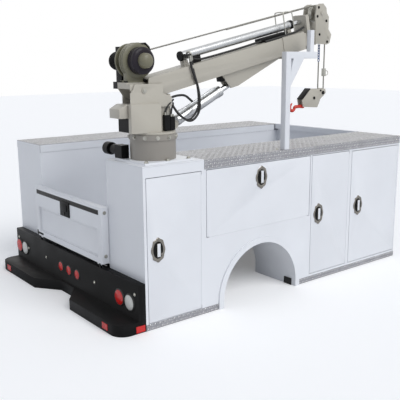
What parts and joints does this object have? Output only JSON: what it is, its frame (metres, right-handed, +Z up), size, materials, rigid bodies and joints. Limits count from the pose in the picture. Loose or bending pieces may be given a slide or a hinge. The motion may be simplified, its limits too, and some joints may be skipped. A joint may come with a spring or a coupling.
{
  "type": "crane service truck body",
  "caption": "Service body for a truck chassis with side tool compartments, a load bed, a step bumper and a telescopic crane with winch and hook block on its rear corner.",
  "frame": {"origin": "middle of the overall box, on the level of the compartment bottoms", "axes": "+X to the truck's right, +Y forwards, +Z up"},
  "size_m": [2.008, 2.963, 2.2169],
  "materials": {
    "body_white": "gloss",
    "bumper_black": "satin",
    "tread_plate": "satin",
    "black_rubber": "matt",
    "motor_black": "satin",
    "red_lens": "gloss",
    "clear_lens": "gloss",
    "crane_tan": "satin",
    "sill_black": "satin",
    "machined_steel": "satin",
    "winch_olive": "satin",
    "wire_rope": "satin",
    "chrome_rod": "polished",
    "chain_blue": "satin",
    "hook_red": "satin",
    "hose_black": "matt"
  },
  "bodies": {
    "service_body": {"bed_floor": "body_white", "bed_sills": "sill_black", "bed_walls": "body_white", "boom_rest": "body_white", "bulkhead": "body_white", "bumper": "bumper_black", "compartment_floors": "body_white", "crane_deck": "body_white", "crane_pedestal": "crane_tan", "end_panels": "body_white", "partitions": "body_white", "red_lamps": "red_lens", "rocker_strips": "tread_plate", "side_panel_left": "body_white", "side_panel_right": "body_white", "splash_guards": "black_rubber", "swing_motor": "motor_black", "top_covers": "tread_plate", "wheel_flares": "body_white", "wheel_wells": "body_white", "white_lamps": "clear_lens"},
    "door_rear_right": {"door_rear_right": "body_white"},
    "door_rear_left": {"door_rear_left": "body_white"},
    "door_side_right": {"door_side_right": "body_white"},
    "door_side_left": {"door_side_left": "body_white"},
    "door_front_one_right": {"door_front_one_right": "body_white"},
    "door_front_one_left": {"door_front_one_left": "body_white"},
    "door_front_two_right": {"door_front_two_right": "body_white"},
    "door_front_two_left": {"door_front_two_left": "body_white"},
    "tailgate": {"tailgate": "body_white"},
    "turret": {"turret": "crane_tan", "valve_bank": "motor_black", "turret_hose": "hose_black"},
    "boom": {"boom": "crane_tan", "extension_barrel": "machined_steel", "winch": "winch_olive", "winch_motor": "motor_black", "winch_rope": "wire_rope", "boom_hose": "hose_black"},
    "boom_extension": {"boom_extension": "crane_tan", "extension_rod": "chrome_rod", "head_sheaves": "machined_steel", "head_rope": "wire_rope"},
    "rope_falls": {"rope_falls": "wire_rope", "load_chain": "chain_blue", "rope_weight": "machined_steel"},
    "hook_block": {"hook_block": "crane_tan", "load_hook": "hook_red"},
    "lift_barrel": {"lift_barrel": "machined_steel"},
    "lift_rod": {"lift_rod": "chrome_rod"}
  },
  "joints": [
    {"name": "door_rear_right_hinge", "type": "hinge", "parent": "service_body", "child": "door_rear_right", "pos_m": [0.99, -0.784, 0.5435], "axis": [0, 0, 1], "range_deg": [0, 90]},
    {"name": "door_rear_left_hinge", "type": "hinge", "parent": "service_body", "child": "door_rear_left", "pos_m": [-0.99, -0.784, 0.5435], "axis": [0, 0, -1], "range_deg": [0, 90]},
    {"name": "door_side_right_hinge", "type": "hinge", "parent": "service_body", "child": "door_side_right", "pos_m": [0.99, -0.2115, 0.5625], "axis": [0, 1, 0], "range_deg": [0, 90]},
    {"name": "door_side_left_hinge", "type": "hinge", "parent": "service_body", "child": "door_side_left", "pos_m": [-0.99, -0.2115, 0.5625], "axis": [0, -1, 0], "range_deg": [0, 90]},
    {"name": "door_front_one_right_hinge", "type": "hinge", "parent": "service_body", "child": "door_front_one_right", "pos_m": [0.99, 0.791, 0.551], "axis": [0, 0, 1], "range_deg": [0, 100]},
    {"name": "door_front_one_left_hinge", "type": "hinge", "parent": "service_body", "child": "door_front_one_left", "pos_m": [-0.99, 0.791, 0.551], "axis": [0, 0, -1], "range_deg": [0, 100]},
    {"name": "door_front_two_right_hinge", "type": "hinge", "parent": "service_body", "child": "door_front_two_right", "pos_m": [0.99, 1.466, 0.5475], "axis": [0, 0, 1], "range_deg": [0, 100]},
    {"name": "door_front_two_left_hinge", "type": "hinge", "parent": "service_body", "child": "door_front_two_left", "pos_m": [-0.99, 1.466, 0.5475], "axis": [0, 0, -1], "range_deg": [0, 100]},
    {"name": "tailgate_hinge", "type": "hinge", "parent": "service_body", "child": "tailgate", "pos_m": [0, -1.3115, 0.36], "axis": [1, 0, 0], "range_deg": [0, 90]},
    {"name": "turret_swing", "type": "hinge", "parent": "service_body", "child": "turret", "pos_m": [0.762, -1.0215, 1.3], "axis": [0, 0, 1], "range_deg": [0, 330]},
    {"name": "boom_luff", "type": "hinge", "parent": "turret", "child": "boom", "pos_m": [0.762, -1.1415, 1.59], "axis": [1, 0, 0], "range_deg": [0, 59.4]},
    {"name": "boom_telescope", "type": "slide", "parent": "boom", "child": "boom_extension", "axis": [0, 0.9759, 0.2181], "range_m": [0, 0.9]},
    {"name": "falls_hang", "type": "hinge", "parent": "boom_extension", "child": "rope_falls", "pos_m": [0.762, 0.66334, 1.95961], "axis": [1, 0, 0], "range_deg": [-60, 0]},
    {"name": "block_swing", "type": "hinge", "parent": "rope_falls", "child": "hook_block", "pos_m": [0.762, 0.66334, 1.515], "axis": [1, 0, 0], "range_deg": [0, 60]},
    {"name": "lift_tilt", "type": "hinge", "parent": "turret", "child": "lift_barrel", "pos_m": [0.762, -0.8615, 1.352], "axis": [1, 0, 0], "range_deg": [0, 58]},
    {"name": "lift_stroke", "type": "slide", "parent": "lift_barrel", "child": "lift_rod", "axis": [0, 0.8993, 0.4374], "range_m": [0, 0.38]}
  ],
  "couplings": [
    {"joint": "falls_hang", "follows": "boom_luff", "ratio": -1},
    {"joint": "block_swing", "follows": "boom_luff", "ratio": 1},
    {"joint": "lift_tilt", "follows": "boom_luff", "ratio": 0.96186},
    {"joint": "lift_stroke", "follows": "boom_luff", "m_per_rad": 0.35005}
  ]
}
